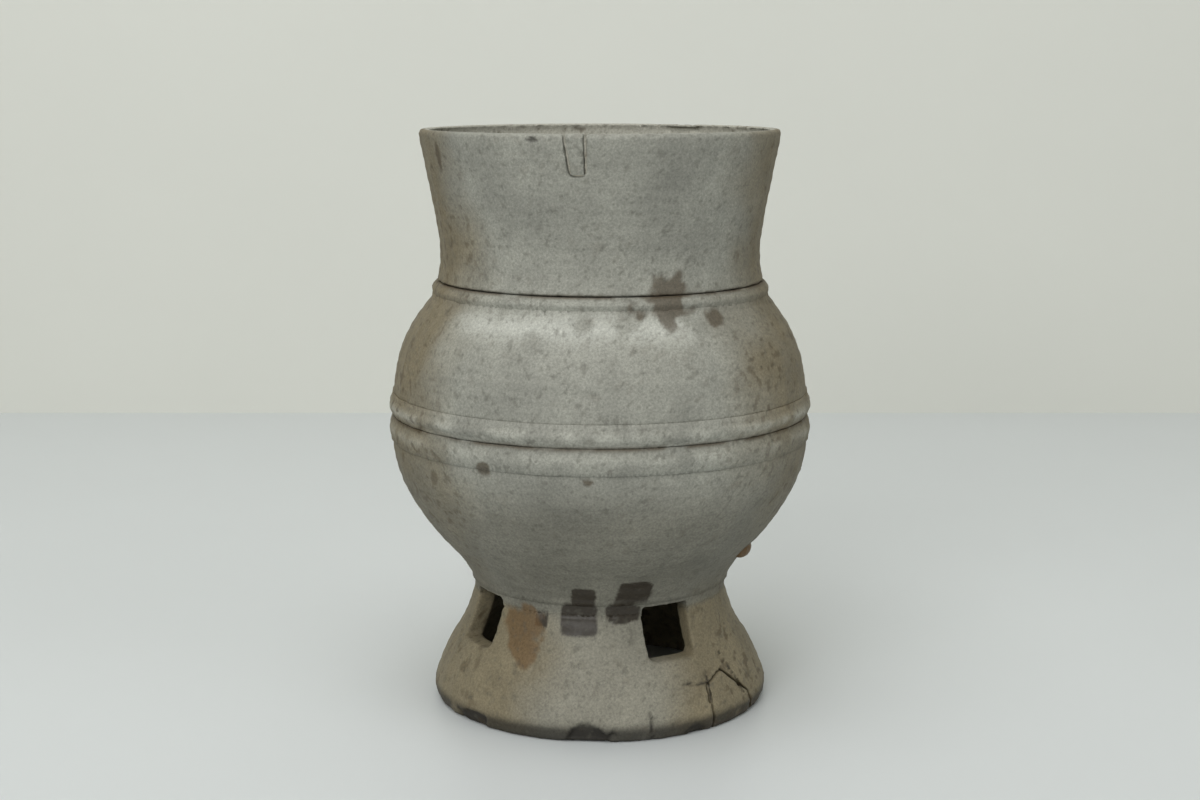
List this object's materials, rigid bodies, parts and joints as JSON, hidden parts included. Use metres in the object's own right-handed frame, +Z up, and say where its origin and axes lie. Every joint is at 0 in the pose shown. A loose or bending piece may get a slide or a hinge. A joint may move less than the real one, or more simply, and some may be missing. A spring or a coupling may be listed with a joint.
{
  "type": "stoneware jar",
  "caption": "Pedestalled stoneware jar with a flared mouth, a belly band of two ridges and a foot pierced by rectangular windows.",
  "frame": {"origin": "centre of the foot's resting ring, on the surface the jar stands on", "axes": "+Z up along the jar's axis; the foot's windows face -Y, +X, +Y and -X"},
  "size_m": [0.1264, 0.1264, 0.17],
  "materials": {
    "clay_neck": "ash-grey fired stoneware, matt",
    "clay_sherd": "ash-grey fired stoneware, matt",
    "clay_coil": "ash-grey fired stoneware, matt",
    "clay_shoulder": "ash-grey fired stoneware, speckled",
    "clay_ridge": "pale worn stoneware edge",
    "clay_bowl": "dark grey-brown fired stoneware",
    "clay_collar": "brown-grey fired stoneware with glossy brown patches",
    "clay_foot": "pale buff fired stoneware",
    "kiln_slag": "orange-brown kiln slag"
  },
  "bodies": {
    "root": {"neck": "clay_neck", "rim_sherd": "clay_sherd", "neck_coil": "clay_coil", "shoulder": "clay_shoulder", "upper_ridge_coil": "clay_ridge", "lower_ridge_coil": "clay_ridge", "lower_bowl": "clay_bowl", "foot_collar": "clay_collar", "pedestal_foot": "clay_foot", "foot_sherd": "clay_foot", "kiln_scar": "kiln_slag"}
  },
  "joints": []
}
